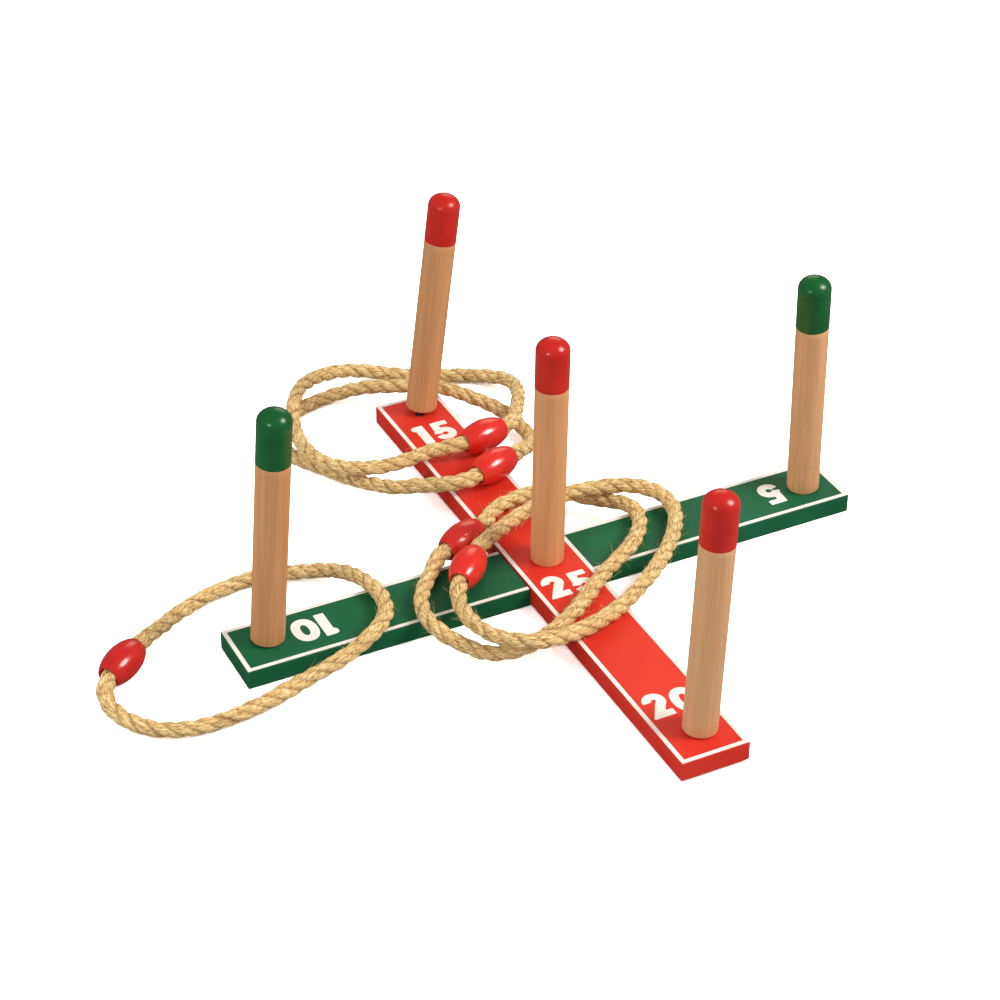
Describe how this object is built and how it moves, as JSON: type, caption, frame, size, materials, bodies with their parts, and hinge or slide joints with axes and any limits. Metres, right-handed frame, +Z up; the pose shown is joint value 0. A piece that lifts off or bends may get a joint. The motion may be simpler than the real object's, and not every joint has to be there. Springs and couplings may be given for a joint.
{
  "type": "ring toss set",
  "caption": "Crossed board target for a ring toss game, with round-ended screw-in pegs, printed scores and loose rope rings that each close in a wooden bead.",
  "frame": {"origin": "centre of the cross, on the floor under the green board", "axes": "+Z up; the green board runs along X with its 5 peg at +X; the red board runs along Y with its 15 peg at +Y"},
  "size_m": [0.675, 0.6456, 0.2362],
  "materials": {
    "green_paint": "satin green paint over wood",
    "red_paint": "satin red paint over wood",
    "white_print": "matt white screen-printed ink",
    "bare_beech": "clear-sealed turned beech",
    "red_dip": "gloss red dipped paint",
    "green_dip": "gloss green dipped paint",
    "dark_steel": "dark plated steel",
    "zinc_steel": "zinc-plated steel",
    "rope": "three-strand natural fibre rope",
    "red_bead": "gloss red paint over wood"
  },
  "bodies": {
    "green_board": {"green_board": "green_paint", "green_board_print": "white_print", "tee_nut_5": "zinc_steel", "tee_nut_10": "zinc_steel", "tee_nut_25": "zinc_steel"},
    "red_board": {"red_board": "red_paint", "red_board_print": "white_print", "tee_nut_15": "zinc_steel", "tee_nut_20": "zinc_steel"},
    "stud_5": {"stud_5": "dark_steel"},
    "stud_10": {"stud_10": "dark_steel"},
    "stud_15": {"stud_15": "dark_steel"},
    "stud_20": {"stud_20": "dark_steel"},
    "stud_25": {"stud_25": "dark_steel"},
    "peg_5": {"peg_5": "bare_beech", "peg_5_tip_paint": "green_dip"},
    "peg_10": {"peg_10": "bare_beech", "peg_10_tip_paint": "green_dip"},
    "peg_15": {"peg_15": "bare_beech", "peg_15_tip_paint": "red_dip"},
    "peg_20": {"peg_20": "bare_beech", "peg_20_tip_paint": "red_dip"},
    "peg_25": {"peg_25": "bare_beech", "peg_25_tip_paint": "red_dip"},
    "ring_1": {"ring_1_rope": "rope", "ring_1_bead": "red_bead"},
    "ring_2": {"ring_2_rope": "rope", "ring_2_bead": "red_bead"},
    "ring_3": {"ring_3_rope": "rope", "ring_3_bead": "red_bead"},
    "ring_4": {"ring_4_rope": "rope", "ring_4_bead": "red_bead"},
    "ring_5": {"ring_5_rope": "rope", "ring_5_bead": "red_bead"}
  },
  "joints": [
    {"name": "red_board_lift", "type": "slide", "parent": "green_board", "child": "red_board", "axis": [0, 0, 1], "range_m": [0, 0.06]},
    {"name": "peg_5_rise", "type": "slide", "parent": "green_board", "child": "stud_5", "axis": [0, 0, 1], "range_m": [0, 0.0165]},
    {"name": "peg_5_turn", "type": "hinge", "parent": "stud_5", "child": "peg_5", "pos_m": [0.25, 0, 0.017], "axis": [0, 0, 1], "range_deg": [0, 5945]},
    {"name": "peg_10_rise", "type": "slide", "parent": "green_board", "child": "stud_10", "axis": [0, 0, 1], "range_m": [0, 0.0165]},
    {"name": "peg_10_turn", "type": "hinge", "parent": "stud_10", "child": "peg_10", "pos_m": [-0.25, 0, 0.017], "axis": [0, 0, 1], "range_deg": [0, 5945]},
    {"name": "peg_15_rise", "type": "slide", "parent": "red_board", "child": "stud_15", "axis": [0, 0, 1], "range_m": [-0.003, 0.0135]},
    {"name": "peg_15_turn", "type": "hinge", "parent": "stud_15", "child": "peg_15", "pos_m": [0, 0.25, 0.0186], "axis": [0, 0, 1], "range_deg": [-1085, 4865]},
    {"name": "peg_20_rise", "type": "slide", "parent": "red_board", "child": "stud_20", "axis": [0, 0, 1], "range_m": [0, 0.0165]},
    {"name": "peg_20_turn", "type": "hinge", "parent": "stud_20", "child": "peg_20", "pos_m": [0, -0.25, 0.0186], "axis": [0, 0, 1], "range_deg": [0, 5945]},
    {"name": "peg_25_rise", "type": "slide", "parent": "red_board", "child": "stud_25", "axis": [0, 0, 1], "range_m": [0, 0.0165]},
    {"name": "peg_25_turn", "type": "hinge", "parent": "stud_25", "child": "peg_25", "pos_m": [0, 0, 0.0186], "axis": [0, 0, 1], "range_deg": [0, 5945]},
    {"name": "ring_1_lift", "type": "slide", "parent": "green_board", "child": "ring_1", "axis": [0, 0, 1], "range_m": [0, 0.25]},
    {"name": "ring_3_lift", "type": "slide", "parent": "red_board", "child": "ring_3", "axis": [0, 0, 1], "range_m": [0, 0.25]},
    {"name": "ring_2_lift", "type": "slide", "parent": "ring_3", "child": "ring_2", "axis": [0, 0, 1], "range_m": [0, 0.25]},
    {"name": "ring_5_lift", "type": "slide", "parent": "red_board", "child": "ring_5", "axis": [0, 0, 1], "range_m": [0, 0.25]},
    {"name": "ring_4_lift", "type": "slide", "parent": "ring_5", "child": "ring_4", "axis": [0, 0, 1], "range_m": [0, 0.25]}
  ],
  "couplings": [
    {"joint": "peg_5_turn", "follows": "peg_5_rise", "rad_per_m": 6283.2},
    {"joint": "peg_10_turn", "follows": "peg_10_rise", "rad_per_m": 6283.2},
    {"joint": "peg_15_turn", "follows": "peg_15_rise", "rad_per_m": 6283.2},
    {"joint": "peg_20_turn", "follows": "peg_20_rise", "rad_per_m": 6283.2},
    {"joint": "peg_25_turn", "follows": "peg_25_rise", "rad_per_m": 6283.2}
  ]
}
